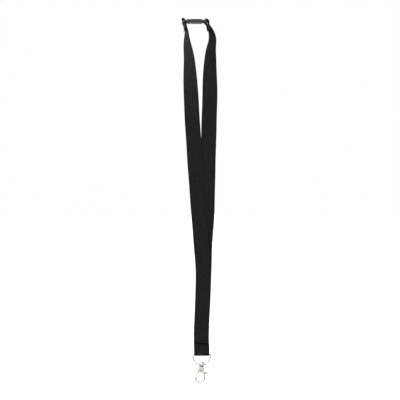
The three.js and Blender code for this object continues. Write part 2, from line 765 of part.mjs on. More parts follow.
function buildHook() {
  const hook = new THREE.Group();
  hook.position.set(0, RING_BAR_Y, HOOK_Z);
  hook.rotation.y = HOOK_TILT;
  hook.add(piece('swivel_bail', toGeometry(bailSolid()), NICKEL));
  hook.add(piece('hook_body', toGeometry(hookSolid()), NICKEL));
  hook.add(piece('gate_lever', toGeometry(leverSolid()), NICKEL));
  hook.add(piece('gate_rivet', rivetGeometry(), NICKEL));
  hook.add(piece('gate_spring', springGeometry(), SPRING_STEEL));
  return hook;
}

function buildLanyard() {
  const lanyard = new THREE.Group();
  lanyard.add(piece('strap_left', leftStrap(), WEBBING));
  lanyard.add(piece('strap_right', rightStrap(), WEBBING));
  lanyard.add(piece('thread_left', threadGeometry(topSeam(LEFT_LEG)), THREAD));
  lanyard.add(piece('thread_right', threadGeometry(topSeam(RIGHT_LEG)), THREAD));
  lanyard.add(piece('thread_bottom', threadGeometry(bottomSeam()), THREAD));
  lanyard.add(buildBuckle());
  lanyard.add(piece('d_ring', ringGeometry(), NICKEL));
  lanyard.add(buildHook());
  return lanyard;
}

export default buildLanyard();
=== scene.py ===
"""A neck lanyard in its finished looks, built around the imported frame. Metres, +Z up, front facing -Y.

Each strap is a ribbed webbing band laid along the path of its CAD solid. The metal and plastic parts are
copies of their CAD solids with moulded or cast edges, the wire parts are fresh sweeps, and the seams have
real stitches.
"""
import json
import math

import bmesh
import bpy
import numpy as np
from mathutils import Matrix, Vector

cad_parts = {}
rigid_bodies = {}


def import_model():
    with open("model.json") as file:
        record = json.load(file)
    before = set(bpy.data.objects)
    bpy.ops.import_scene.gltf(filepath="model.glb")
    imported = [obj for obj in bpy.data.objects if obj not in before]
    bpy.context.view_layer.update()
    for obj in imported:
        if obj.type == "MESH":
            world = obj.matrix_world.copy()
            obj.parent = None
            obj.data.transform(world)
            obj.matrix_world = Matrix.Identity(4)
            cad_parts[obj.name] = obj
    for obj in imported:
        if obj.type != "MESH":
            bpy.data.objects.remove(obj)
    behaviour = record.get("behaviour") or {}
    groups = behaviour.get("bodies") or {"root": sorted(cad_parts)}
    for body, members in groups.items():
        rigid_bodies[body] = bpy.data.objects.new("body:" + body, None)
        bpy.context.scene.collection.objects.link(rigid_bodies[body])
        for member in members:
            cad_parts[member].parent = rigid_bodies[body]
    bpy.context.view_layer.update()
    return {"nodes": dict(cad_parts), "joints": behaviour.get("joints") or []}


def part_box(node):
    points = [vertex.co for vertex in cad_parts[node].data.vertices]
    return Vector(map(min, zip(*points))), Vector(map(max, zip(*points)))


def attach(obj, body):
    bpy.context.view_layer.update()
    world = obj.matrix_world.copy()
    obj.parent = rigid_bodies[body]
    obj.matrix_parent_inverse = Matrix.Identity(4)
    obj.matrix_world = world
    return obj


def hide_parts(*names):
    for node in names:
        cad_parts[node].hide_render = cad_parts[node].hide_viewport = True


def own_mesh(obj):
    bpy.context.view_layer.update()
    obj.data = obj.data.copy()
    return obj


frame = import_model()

MM = 0.001
JOINTS = {joint["name"]: joint for joint in frame["joints"]}

# ---- places read from the frame ----

LEFT_BAR = np.array(JOINTS["left_strap_pivot"]["pos_m"])
RING_BAR = np.array(JOINTS["ring_swing"]["pos_m"])
RING_CENTRE = np.array(JOINTS["bail_travel"]["pos_m"])
WIRE_CENTRE = np.array(JOINTS["hook_swivel"]["pos_m"])
SWIVEL_AXIS = np.array(JOINTS["hook_swivel"]["axis"]) / np.linalg.norm(JOINTS["hook_swivel"]["axis"])
GATE_PIVOT = np.array(JOINTS["gate_open"]["pos_m"])
RIGHTWARD = np.array([1.0, 0.0, 0.0])
FORWARD = np.array([0.0, -1.0, 0.0])
UPWARD = np.array([0.0, 0.0, 1.0])
HOOK_RIGHT = np.cross(SWIVEL_AXIS, FORWARD)
HOOK_RIGHT = HOOK_RIGHT * np.sign(HOOK_RIGHT[0])
HEM_Z = (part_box("thread_bottom")[0].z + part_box("thread_bottom")[1].z) / 2
PLAIN_RUN_Z = 200 * MM  # here each leg is one straight ply

# ---- webbing ----

WEB_HALF_WIDTH = 10.15 * MM
WEB_HALF_PLY = 0.475 * MM
EDGE_HALF_PLY = 0.36 * MM  # the selvedges are a little thinner than the face
SELVEDGE = 8.4 * MM  # a fine groove marks each selvedge this far from the middle
GROOVE_DEPTH = 0.07 * MM
GROOVE_WIDTH = 0.22 * MM
RIB_PITCH = 1.0 * MM
RIB_DEPTH = 0.09 * MM
ROWS_PER_RIB = 4
WARP_PITCH = 0.5 * MM
SEAM_TO_CUT = 2.6 * MM  # each seam runs this far inside the cut edge
SEAM_PRESS = 0.12 * MM  # how far the stitches pull the face in
SEAM_REACH = 0.8 * MM
STITCH_PITCH = 2.8 * MM
STITCHES = 6
THREAD_R = 0.2 * MM
TRIM_LENGTH = 9 * MM  # rows this close to a cut end are spread to follow a slanting cut
LOOP_TILT = 1.4 * MM  # each loop sits this much lower at its far edge than at its near edge
LOOP_LEAN = 1.0 * MM  # the crown of each loop leans this far to the left
UNTWIST = math.radians(5)  # real webbing eases its turn a little over the upper part of each leg
FLAP_SPARE = 4 * MM  # length a flap's path has beyond the solid's flap, to follow a slanting cut
DARK_CUT = 0.55 * MM  # heat-cut ends are darker over about this distance, partly as singed ends and partly as painted shade, and painted shade lies as far into the creases beside them
CUT_BEAD = 0.22  # a heat-cut end swells by this share just inside its edge
CUT_THIN = 0.45  # and thins by this share at the edge itself
CUP = 0.45 * MM  # how far the slack part of a leg cups across its width
SWAY = 0.25 * MM  # how far it waves in and out
WANDER = 0.1 * MM  # how far its edges wave from side to side
SETTLE = 12 * MM  # below a flap, the solid's facets are smoothed away over this length
SMOOTHING = 6  # in stations, which are a millimetre apart
SWING_REACH = 14 * MM  # a leg's swing under its flap fades over this length
UNTWIST_ENDS = (300 * MM, 345 * MM)  # the easing begins at the first height and is full at the second
RUN_START = 30 * MM  # a leg's long run down from the bar begins about this far along its path


# ---- small helpers ----

def smoothstep(value, low, high):
    t = np.clip((np.asarray(value, float) - low) / (high - low), 0, 1)
    return t * t * (3 - 2 * t)


def bell(value, width):
    return np.exp(-(np.asarray(value, float) / width) ** 2)


def unit(vectors):
    vectors = np.asarray(vectors, float)
    return vectors / np.linalg.norm(vectors, axis=-1, keepdims=True)


def add_object(name, mesh):
    piece = bpy.data.objects.new(name, mesh)
    bpy.context.scene.collection.objects.link(piece)
    return piece


def mesh_from(name, points, faces):
    mesh = bpy.data.meshes.new(name)
    mesh.from_pydata(np.asarray(points).tolist(), [], faces)
    mesh.polygons.foreach_set("use_smooth", [True] * len(mesh.polygons))
    mesh.update()
    return mesh


def grid_faces(rows, columns):
    """Quads between neighbouring rings of a tube, each ring closed on itself."""
    i, j = np.meshgrid(np.arange(rows - 1), np.arange(columns), indexing="ij")
    near = i * columns + j
    along = i * columns + (j + 1) % columns
    return np.stack([near, along, along + columns, near + columns], -1).reshape(-1, 4)


def turn_out(mesh):
    work = bmesh.new()
    work.from_mesh(mesh)
    bmesh.ops.recalc_face_normals(work, faces=work.faces)
    work.to_mesh(mesh)
    work.free()
    return mesh


# ---- reading each strap's path from its CAD solid ----

def solid_edges(node):
    mesh = frame["nodes"][node].data
    points = np.array([vertex.co for vertex in mesh.vertices])
    ends = np.array([edge.vertices for edge in mesh.edges])
    return points[ends[:, 0]], points[ends[:, 1]]


def section(edges, height):
    """The rectangle a band leaves in a level cut: its middle, its direction across, and its thickness."""
    start, end = edges
    crossing = (start[:, 2] - height) * (end[:, 2] - height) < 0
    a, b = start[crossing], end[crossing]
    share = (height - a[:, 2]) / (b[:, 2] - a[:, 2])
    cut = a[:, :2] + share[:, None] * (b - a)[:, :2]
    angles = np.radians(np.arange(-110, 20, 0.25))
    across = np.stack([np.cos(angles), np.sin(angles)], 1)
    out = np.stack([across[:, 1], -across[:, 0]], 1)
    reach_out = cut @ out.T
    best = int(np.argmin(np.ptp(reach_out, axis=0)))
    reach_across = cut @ across[best]
    middle = (across[best] * (reach_across.max() + reach_across.min())
              + out[best] * (reach_out[:, best].max() + reach_out[:, best].min())) / 2
    return np.append(middle, height), np.append(across[best], 0), np.ptp(reach_out[:, best])


def smoothed(values, width):
    """A run of values, one per millimetre, eased with a bell of that width."""
    reach = int(3 * width)
    weights = bell(np.arange(-reach, reach + 1), width)
    padded = np.pad(values, ((reach, reach), (0, 0)), mode="reflect", reflect_type="odd")
    columns = [np.convolve(column, weights / weights.sum(), mode="valid") for column in padded.T]
    return np.stack(columns, 1)


class Path:
    """The middle line of a run of webbing, with the direction across it, by distance along it."""

    def __init__(self, centre, across):
        self.centre = np.array(centre)
        self.across = np.array(across)
        steps = np.linalg.norm(np.diff(self.centre, axis=0), axis=1)
        self.distance = np.append(0, np.cumsum(steps))
        self.length = self.distance[-1]
        self.tangent = np.gradient(self.centre, self.distance, axis=0)

    def at(self, distance):
        """Centre, across and outward at each distance. Outward is the side away from the folds."""
        centre, across, tangent = (
            np.stack([np.interp(distance, self.distance, values[:, k]) for k in range(3)], -1)
            for values in (self.centre, self.across, self.tangent)
        )
        across = unit(across)
        out = unit(np.cross(across, tangent))
        return centre, across, out


CAD_PLY = section(solid_edges("strap_left"), PLAIN_RUN_Z)[2]


def read_leg(node, thread, low, untwist, sway):
    """A leg's stations from its cut flap, up over the buckle's bar and down to a height.

    untwist says how far under the flap's end the leg's turn starts to ease and is fully eased. sway is how
    far the leg swings to the left just under its flap.
    """
    edges = solid_edges(node)
    loop = section(edges, LEFT_BAR[2])[2]
    arch_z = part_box(node)[1].z - loop / 2
    flap_z = (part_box(thread)[0].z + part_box(thread)[1].z) / 2 - SEAM_TO_CUT
    levels = np.arange(low, arch_z, 1 * MM) + 0.01 * MM
    middle, across, thick = (np.array(values) for values in zip(*(section(edges, z) for z in levels)))
    front = np.stack([across[:, 1], -across[:, 0], 0 * thick], 1)
    doubled = levels > flap_z
    offset = np.where(doubled, (thick - CAD_PLY) / 2, 0)[:, None]
    main = middle - front * offset
    ease = smoothstep(flap_z - levels, 0, SETTLE)[:, None]
    main = main + ease * (smoothed(main, SMOOTHING) - main)
    across = unit(across + ease * (smoothed(across, SMOOTHING) - across))
    turn = np.arctan2(across[:, 1], across[:, 0])
    eased = smoothstep(flap_z - levels, *untwist) * smoothstep(levels, *UNTWIST_ENDS)
    turn = turn + UNTWIST * eased * (turn < -UNTWIST)
    across = np.stack([np.cos(turn), np.sin(turn), 0 * turn], 1)
    main = main - sway * bell(levels - flap_z + SETTLE, SWING_REACH)[:, None] * RIGHTWARD
    flap = (middle + front * offset)[doubled]
    angles = np.linspace(0, math.pi, 24)[:, None]
    radius = (loop - CAD_PLY) / 2
    top = middle[-1] + (arch_z - levels[-1]) * UPWARD
    arch = top + radius * (np.cos(angles) * front[-1] + np.sin(angles) * UPWARD)
    spare = flap[0] + unit(flap[0] - flap[4]) * FLAP_SPARE
    centre = np.concatenate([[spare], flap, arch, main[::-1]])
    turned = np.concatenate([across[doubled][:1], across[doubled], np.repeat(across[-1:], len(arch), 0),
                             across[::-1]])
    return centre, turned


def fold_stations(start, front_y):
    """The right leg's lower end: under the D-ring's bar and up in front, drifting a little to the right."""
    radius = start[1] - RING_BAR[1]
    drift = 0.3 * MM
    straight = np.linspace(start, [RING_BAR[0], start[1], RING_BAR[2]], 16)[1:]
    angles = np.linspace(0, math.pi, 24)[1:]
    under = np.stack([
        RING_BAR[0] + drift * smoothstep(angles, 0, math.pi),
        RING_BAR[1] + radius * np.cos(angles),
        RING_BAR[2] - radius * np.sin(angles),
    ], 1)
    rise = np.linspace(RING_BAR[2], CUT_EDGE_Z, 30)[1:]
    flat = smoothstep(rise, RING_BAR[2], 0)
    up = np.stack([
        RING_BAR[0] + drift * (1 - 0.4 * flat),
        RING_BAR[1] - radius + flat * (front_y - RING_BAR[1] + radius),
        rise,
    ], 1)
    return np.concatenate([straight, under, up])


def cut_edge_height():
    """The top of the ply folded up in front of the sewn joint."""
    points = np.array([vertex.co for vertex in frame["nodes"]["strap_right"].data.vertices])
    in_front = points[(points[:, 1] < RING_BAR[1]) & (points[:, 2] < 10 * MM)]
    return in_front[:, 2].max()


CUT_EDGE_Z = cut_edge_height()


# ---- webbing surface ----

def half_profile():
    """Distances across one face, closer together beside the selvedge grooves."""
    inner = np.array([0, 2, 4, 6, 7.6]) * MM
    grooved = SELVEDGE + np.array([-1, 0, 1]) * GROOVE_WIDTH
    outer = np.array([9.15, 9.5]) * MM
    return np.concatenate([inner, grooved, outer])


def band_section():
    """The band's closed cross-section: distance across, side (+1 outer, -1 inner), and depth share."""
    half = half_profile()
    face = np.concatenate([-half[:0:-1], half])
    edge = WEB_HALF_WIDTH - face[-1]
    turn = np.radians([60, 0, -60])
    tip = face[-1] + edge * np.cos(turn)
    across = np.concatenate([face, tip, face[::-1], -tip])
    depth = np.concatenate([np.ones(len(face)), np.sin(turn), -np.ones(len(face)), -np.sin(turn)])
    return across, depth


def rib(distance):
    """The cross ribs' relief: broad rounded ribs with narrow valleys between them."""
    return np.abs(np.sin(math.pi * distance / RIB_PITCH)) ** 0.6


def follow_cuts(path, across, cuts):
    """The rows' distances along a band, spread near its ends to follow slanting cuts, and the distances of
    each place from the first cut and from the last one."""
    rows = int(round(path.length / RIB_PITCH * ROWS_PER_RIB)) + 1
    nominal = np.linspace(0, path.length, rows)[:, None] + 0 * across[None, :]
    share = across / WEB_HALF_WIDTH
    first = cuts[0][0] + cuts[0][1] * share
    last = path.length - cuts[1][0] - cuts[1][1] * share
    start = np.clip(1 - nominal / TRIM_LENGTH, 0, 1)
    end = np.clip(1 - (path.length - nominal) / TRIM_LENGTH, 0, 1)
    along = nominal + start * first[None, :] - end * (path.length - last)[None, :]
    return along, along - first[None, :], last[None, :] - along


def half_thickness(along, v, from_cut, seams):
    """Half a ply's thickness, with its ribs, selvedge grooves, pressed seams and beaded cut ends."""
    edge_share = smoothstep(np.abs(v), 7 * MM, 9.6 * MM)
    half = WEB_HALF_PLY + (EDGE_HALF_PLY - WEB_HALF_PLY) * edge_share
    half = half - RIB_DEPTH * (1 - rib(along)) * (1 - 0.5 * edge_share)
    half = half - GROOVE_DEPTH * bell(np.abs(v) - SELVEDGE, 0.7 * GROOVE_WIDTH)
    for seam in seams:
        pulled = 0.7 + 0.3 * np.cos(2 * math.pi * v / STITCH_PITCH)
        half = half - SEAM_PRESS * pulled * bell(along - seam(v), SEAM_REACH) * (np.abs(v) < 9 * MM)
    bead = CUT_BEAD * bell(from_cut - 0.5 * MM, 0.3 * MM)
    return half * (1 + bead - CUT_THIN * bell(from_cut, 0.2 * MM))


def slack(path, height, along, v):
    """How far a leg cups, sways and wanders, which it does only between its loop and the sewn joint."""
    calm = smoothstep(path.centre[:, 2].max() - height, 16 * MM, 60 * MM)
    calm = calm * smoothstep(height, 20 * MM, 90 * MM)
    cup = CUP * calm * np.sin(along / (31 * MM)) * (v / WEB_HALF_WIDTH) ** 2
    sway = SWAY * calm * np.sin(along / (17 * MM) + 1.3)
    wander = WANDER * calm * np.sin(along / (9 * MM) + 0.4 * np.sign(v))
    return cup, sway, wander


def pose_loop(points, v, twist):
    """Tilts, leans and twists the loop where it passes over the buckle's bar."""
    looped = smoothstep(points[..., 2], LEFT_BAR[2] - 4 * MM, LEFT_BAR[2] + 2 * MM)
    points[..., 2] -= LOOP_TILT * (1 - v / WEB_HALF_WIDTH) / 2 * looped
    over_bar = (points[..., 2] - LEFT_BAR[2]) / MM
    points[..., 0] -= LOOP_LEAN * smoothstep(over_bar, 0, 4)
    points[..., 0] += twist * v * (smoothstep(over_bar, -8, -4.5) - 2 * smoothstep(over_bar, -2, 1.5))


def mark(mesh, name, amount):
    """Stores a value at each vertex for the material to read."""
    layer = mesh.attributes.new(name, "FLOAT", "POINT")
    layer.data.foreach_set("value", amount.astype(np.float32).ravel())


def webbing(name, path, cuts, seams, creases, flares, twist, roll):
    """A woven band along a path.

    cuts are its two ends, each (start shift, slant). seams and creases are functions of the distance across
    that give the distance along. flares are how far each cut end stands off, twist is how much the band
    turns one way under the bar and the other way over it, and roll is where its weave starts.
    """
    across, depth = band_section()
    along, from_first, from_last = follow_cuts(path, across, cuts)
    from_cut = np.minimum(from_first, from_last)
    v = 0 * along + across[None, :]
    half = half_thickness(along, v, from_cut, seams)
    centre, side, out = path.at(along)
    edge_pull = 0.03 * MM * (1 - rib(along)) * np.sign(v) * (np.abs(v) > 9.4 * MM)
    cup, sway, wander = slack(path, centre[..., 2], along, v)
    lift = flares[0] * (1 - smoothstep(from_first, 0, SEAM_TO_CUT))
    lift = lift + flares[1] * (1 - smoothstep(from_last, 0, SEAM_TO_CUT))
    points = centre + side * (v - edge_pull + wander)[..., None]
    points = points + out * (depth[None, :] * half + cup + sway + lift)[..., None]
    pose_loop(points, v, twist)

    rows, columns = along.shape
    faces = grid_faces(rows, columns).tolist()
    faces += cap_faces(0, columns)
    faces += cap_faces((rows - 1) * columns, columns)
    mesh = turn_out(mesh_from(name, points.reshape(-1, 3), faces))
    uv = mesh.uv_layers.new(name="weave")
    corner = np.zeros(len(mesh.loops), np.int32)
    mesh.loops.foreach_get("vertex_index", corner)
    flat = np.stack([v, along + roll], -1).reshape(-1, 2)[corner] / MM
    uv.data.foreach_set("uv", flat.astype(np.float32).ravel())
    # Painted shade: the face is darkened along each crease beside a cut edge, and at each heat-cut end,
    # which is partly a singed end and partly painted shade.
    shade = bell(from_cut, DARK_CUT)
    for crease in creases:
        shade = np.maximum(shade, bell(along - crease(v), DARK_CUT))
    mark(mesh, "dark", shade)
    return add_object(name, mesh)


def cap_faces(base, columns):
    """Closes a band's end with quads from one face to the other and a small face at each selvedge."""
    face = columns // 2 - 3
    faces = []
    for j in range(face - 1):
        faces.append([base + j, base + j + 1, base + columns - 5 - j, base + columns - 4 - j])
    right = [base + face - 1 + k for k in range(5)]
    left = [base + columns - 4 + k for k in range(4)] + [base]
    return faces + [right, left]


# ---- stitches ----

def tube(points, radius, sides, twist=0.0):
    """A closed round tube along points. twist gives laid yarn: three strands turning this many radians."""
    points = np.asarray(points)
    tangent = unit(np.gradient(points, axis=0))
    guide = np.cross(tangent[0], UPWARD if abs(tangent[0][2]) < 0.9 else RIGHTWARD)
    rings = []
    turned = np.linspace(0, 2 * math.pi, sides, endpoint=False)
    for index, (point, direction) in enumerate(zip(points, tangent)):
        guide = unit(guide - direction * np.dot(guide, direction))
        other = np.cross(direction, guide)
        lay = twist * index / (len(points) - 1)
        reach = radius * (1 - (0.16 * (1 - np.abs(np.cos(1.5 * (turned - lay))))) * (twist != 0))
        ring = np.cos(turned)[:, None] * guide + np.sin(turned)[:, None] * other
        rings.append(point + reach[:, None] * ring)
    count = len(points)
    faces = grid_faces(count, sides).tolist()
    faces.append(list(range(sides))[::-1])
    faces.append([(count - 1) * sides + k for k in range(sides)])
    return np.concatenate(rings), faces


def joined(name, parts):
    """One mesh from several (points, faces) pieces."""
    points, faces, base = [], [], 0
    for part_points, part_faces in parts:
        points.append(part_points)
        faces += [[base + k for k in face] for face in part_faces]
        base += len(part_points)
    return turn_out(mesh_from(name, np.concatenate(points), faces))


def stitches(name, path, seams):
    """A row of lockstitches on the outer face of each ply of a seam."""
    parts = []
    t = np.linspace(-1, 1, 15)
    rise = 1 - np.abs(t) ** 5
    height = WEB_HALF_PLY - SEAM_PRESS + (rise - 1) * 0.55 * MM + 0.6 * THREAD_R
    for seam in seams:
        for k in range(STITCHES):
            middle = (k - (STITCHES - 1) / 2) * STITCH_PITCH
            v = middle + 0.47 * STITCH_PITCH * t * np.clip(1.15 - 0.15 * t * t, 0, 1)
            skew = 0.1 * MM * np.sin(5.1 * k) + 0.16 * MM * t
            centre, side, out = path.at(seam(v) + skew)
            points = centre + side * v[:, None] + out * height[:, None]
            parts.append(tube(points, THREAD_R, 10, twist=9.0))
    return add_object(name, joined(name, parts))


# ---- cast, moulded and wire parts ----

SPRING_WIRE_R = 0.15 * MM
SPRING_TURNS = 4
SHANK_CROWN = 0.1 * MM  # how far the shank's flat faces fall away towards their edges
HOLLOW_DEPTH = 0.4 * MM  # of the two hollows beside the bail's middle rib
SLOT_DEPTH = 1.05 * MM  # of the slot below the bail's eye
BAIL_CROWN = 0.4 * MM
HOLLOW_SHADE = 0.6  # how strongly painted shade darkens the hollows and the slot, from 0 to 1
SLOT_SHADE = 0.85

def soft_copy(name, node, voxel, passes):
    """A copy of a CAD solid with its edges rounded, as moulding, casting or plating leaves them."""
    piece = add_object(name, frame["nodes"][node].data.copy())
    remesh = piece.modifiers.new("even", "REMESH")
    remesh.mode = "VOXEL"
    remesh.voxel_size = voxel
    remesh.use_smooth_shade = True
    ease = piece.modifiers.new("ease", "SMOOTH")
    ease.factor = 0.5
    ease.iterations = passes
    mesh = bpy.data.meshes.new_from_object(piece.evaluated_get(bpy.context.evaluated_depsgraph_get()))
    piece.modifiers.clear()
    piece.data = mesh
    mesh.name = name
    return piece


def reshape(piece, move):
    """Moves a piece's vertices to what a function makes of their places and normals."""
    mesh = piece.data
    points = np.zeros(len(mesh.vertices) * 3)
    normals = np.zeros(len(mesh.vertices) * 3)
    mesh.vertices.foreach_get("co", points)
    mesh.vertices.foreach_get("normal", normals)
    moved = move(points.reshape(-1, 3), normals.reshape(-1, 3))
    mesh.vertices.foreach_set("co", moved.astype(np.float32).ravel())
    mesh.update()


def hook_places(points):
    """Places in the hook's own frame: across, towards the front, and up its swivel axis."""
    from_wire = np.asarray(points) - WIRE_CENTRE
    return from_wire @ HOOK_RIGHT, from_wire @ FORWARD, from_wire @ SWIVEL_AXIS


def hook_point(across, front, up):
    """The place that has these distances in the hook's own frame."""
    across, front, up = (np.asarray(value, float)[..., None] for value in (across, front, up))
    return WIRE_CENTRE + across * HOOK_RIGHT + front * FORWARD + up * SWIVEL_AXIS


def lathe(name, profile, centre, axis, sides):
    """A profile of (radius, distance along the axis) turned about an axis, starting and ending on it."""
    axis = unit(axis)
    first = unit(np.cross(axis, UPWARD))
    second = np.cross(axis, first)
    turned = np.linspace(0, 2 * math.pi, sides, endpoint=False)
    ring = np.cos(turned)[:, None] * first + np.sin(turned)[:, None] * second
    points = [centre + profile[0][1] * axis]
    for radius, distance in profile[1:-1]:
        points.extend(centre + distance * axis + radius * ring)
    points.append(centre + profile[-1][1] * axis)
    last = len(points) - 1
    rings = len(profile) - 2
    faces = (grid_faces(rings, sides) + 1).tolist()
    for j in range(sides):
        faces.append([0, 1 + (j + 1) % sides, 1 + j])
        faces.append([last, last - sides + j, last - sides + (j + 1) % sides])
    return add_object(name, turn_out(mesh_from(name, points, faces)))


def d_ring():
    """Round wire bent to a D: a straight bar inside the strap's fold, and a bow below it."""
    low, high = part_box("d_ring")
    wire = (high.y - low.y) / 2
    reach = (high.x - low.x) / 2 - wire
    corner = 1.6 * MM
    split = 0.1 * MM
    turn = np.linspace(math.pi / 2, 0, 12)
    shoulder = np.stack([
        reach - corner + corner * np.cos(turn),
        RING_BAR[2] - corner + corner * np.sin(turn),
    ], 1)
    bar = np.stack([np.linspace(split, reach - corner, 16)[:-1], np.full(15, RING_BAR[2])], 1)
    side = np.stack([np.full(6, reach), np.linspace(shoulder[-1, 1], RING_CENTRE[2], 8)[1:-1]], 1)
    sweep = np.linspace(0, -math.pi, 97)
    bow = np.stack([reach * np.cos(sweep), RING_CENTRE[2] + reach * np.sin(sweep)], 1)
    half = np.concatenate([bar, shoulder, side])
    outline = np.concatenate([half, bow, (half * [-1, 1])[::-1]])
    points = np.stack([outline[:, 0], np.full(len(outline), RING_BAR[1]), outline[:, 1]], 1)
    return add_object("dring_wire", joined("dring_wire", [tube(points, wire, 28)]))


def spring_coil():
    """The small coil over the lever, with closed ends."""
    places = np.array([vertex.co for vertex in frame["nodes"]["gate_spring"].data.vertices])
    across, front, up = hook_places(places)
    wire = SPRING_WIRE_R
    radius = np.ptp(front) / 2 - wire
    t = np.linspace(0, 1, 40 * SPRING_TURNS)
    angle = 2 * math.pi * SPRING_TURNS * t
    closed = t - np.sin(2 * math.pi * t) / (2 * math.pi) * 0.75
    height = up.min() + wire + closed * (np.ptp(up) - 2 * wire)
    middle = (across.max() + across.min()) / 2
    points = hook_point(middle + radius * np.cos(angle), radius * np.sin(angle), height)
    return add_object("gate_coil", joined("gate_coil", [tube(points, wire, 10)]))


def rivet():
    """A pin through both cheeks, with a low rounded head at each end that is dimpled where it was peened."""
    low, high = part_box("gate_rivet")
    half = (high.y - low.y) / 2
    head = (high.x - low.x) / 2
    face = half - 0.45 * MM
    rim = [(0.55 * head, half - 0.02 * MM), (0.72 * head, half), (0.9 * head, half - 0.13 * MM),
           (head, half - 0.3 * MM), (head, face), (0.62 * head, face)]
    dimple = [(0, half - 0.35 * MM), (0.25 * head, half - 0.3 * MM), (0.42 * head, half - 0.13 * MM)]
    front = dimple + rim
    profile = front + [(radius, -distance) for radius, distance in reversed(front)]
    return lathe("rivet_pin", profile, GATE_PIVOT, FORWARD, 32)


def crown_hook(points, _normals):
    """Rounds the shank's flat faces a little, as polishing does."""
    across, front, up = hook_places(points)
    shank = smoothstep(-up, 2.2 * MM, 3.4 * MM) * smoothstep(up, -11.5 * MM, -9.5 * MM)
    fall = SHANK_CROWN * smoothstep(np.abs(across), 0, 4.6 * MM)
    return points + (-np.sign(front) * fall * shank * (np.abs(front) > 1.3 * MM))[:, None] * FORWARD


def bail_hollows(across, up):
    """How far each place lies in the bail's two hollows, and in the slot below its eye, from 0 to 1."""
    hollow = bell(np.abs(across) - 1.9 * MM, 1.0 * MM) * bell(up - 3.1 * MM, 0.75 * MM)
    return hollow, smoothstep(-up, 0.65 * MM, 0.85 * MM)


def hollow_bail(points, normals):
    """Presses the hollows and the slot into the bail's front and back, and crowns both faces."""
    across, front, up = hook_places(points)
    hollow, slot = bail_hollows(across, up)
    facing = smoothstep(np.abs(normals @ FORWARD), 0.3, 0.9)
    outer = np.abs(front) > 1.8 * MM
    crown = BAIL_CROWN * smoothstep(np.abs(across), 0, 4 * MM) * outer
    inward = HOLLOW_DEPTH * hollow * facing + crown + SLOT_DEPTH * slot * outer
    return points - (np.sign(front) * inward)[:, None] * FORWARD


# ---- shaders ----

class Nodes:
    """Short calls that build a tree of shader nodes."""

    def __init__(self, tree):
        self.tree = tree

    def put(self, socket, value):
        if isinstance(value, bpy.types.NodeSocket):
            self.tree.links.new(value, socket)
        else:
            socket.default_value = value

    def add(self, kind, inputs, **settings):
        node = self.tree.nodes.new("ShaderNode" + kind)
        for name, value in settings.items():
            setattr(node, name, value)
        for name, value in inputs.items():
            self.put(node.inputs[name], value)
        return node

    def math(self, operation, *values):
        return self.add("Math", dict(enumerate(values)), operation=operation).outputs[0]

    def times(self, a, b):
        return self.math("MULTIPLY", a, b)

    def plus(self, a, b):
        return self.math("ADD", a, b)

    def noise(self, vector, scale, detail=2.0, stretch=(1, 1, 1)):
        placed = self.add("Mapping", {"Vector": vector, "Scale": stretch}).outputs[0]
        return self.add("TexNoise", {"Vector": placed, "Scale": scale, "Detail": detail}).outputs[0]

    def spread(self, value, low, high, to_low=0.0, to_high=1.0):
        sockets = {"Value": value, "From Min": low, "From Max": high, "To Min": to_low, "To Max": to_high}
        return self.add("MapRange", sockets).outputs[0]

    def mix(self, share, first, second):
        node = self.tree.nodes.new("ShaderNodeMix")
        node.data_type = "RGBA"
        self.put(node.inputs[0], share)
        self.put(node.inputs[6], first)
        self.put(node.inputs[7], second)
        return node.outputs[2]

    def camera_ray(self):
        return self.add("LightPath", {}).outputs["Is Camera Ray"]


class Shader(Nodes):
    """The nodes of one material, around its main surface."""

    def __init__(self, name):
        self.material = bpy.data.materials.new(name)
        self.material.use_nodes = True
        super().__init__(self.material.node_tree)
        self.surface = self.tree.nodes["Principled BSDF"]

    def places(self):
        return self.add("TexCoord", {}).outputs["Object"]

    def bump(self, height, distance, strength=1.0):
        sockets = {"Height": height, "Distance": distance, "Strength": strength}
        self.finish(Normal=self.add("Bump", sockets).outputs[0])

    def finish(self, **inputs):
        for name, value in inputs.items():
            self.put(self.surface.inputs[name.replace("_", " ")], value)
        return self.material


def grey(level, tint=(1, 1, 1)):
    return (level * tint[0], level * tint[1], level * tint[2], 1)


